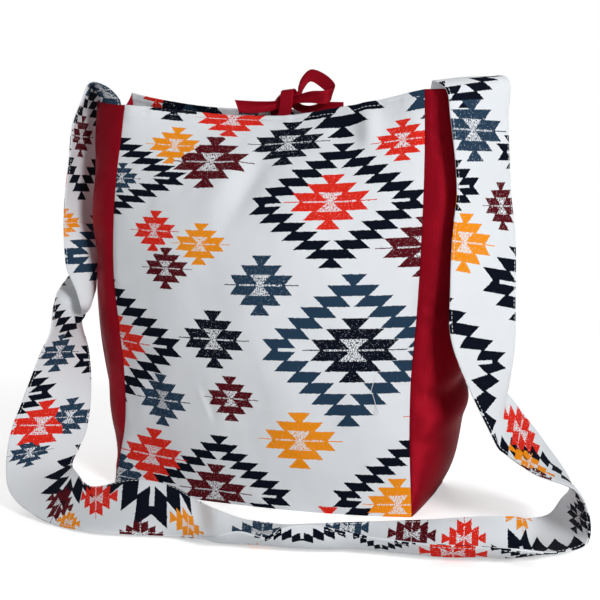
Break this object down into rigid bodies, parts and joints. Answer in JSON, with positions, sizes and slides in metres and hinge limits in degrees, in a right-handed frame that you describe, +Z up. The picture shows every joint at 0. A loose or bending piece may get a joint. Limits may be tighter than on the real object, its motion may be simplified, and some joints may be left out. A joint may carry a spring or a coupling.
{
  "type": "crossbody bag",
  "caption": "Open-topped soft cloth crossbody bag with swelling side gussets, a flat base, a wide printed shoulder strap laid in front and a ribbon half bow that ties the mouth",
  "frame": {"origin": "under the middle of the base, on the surface the bag stands on", "axes": "+Z up, the front panel faces -Y, +X to the right seen from the front"},
  "size_m": [0.544, 0.2924, 0.4095],
  "materials": {
    "printed_cloth": "plain-woven cotton with a serrated diamond print",
    "crimson_cloth": "smooth plain-woven cloth with a slight sheen",
    "crimson_ribbon": "narrow folded and stitched tape"
  },
  "bodies": {
    "root": {"front_panel": "printed_cloth", "back_panel": "printed_cloth", "left_gusset": "crimson_cloth", "right_gusset": "crimson_cloth", "base_panel": "printed_cloth", "shoulder_strap": "printed_cloth", "front_tie": "crimson_ribbon", "back_tie": "crimson_ribbon"}
  },
  "joints": []
}
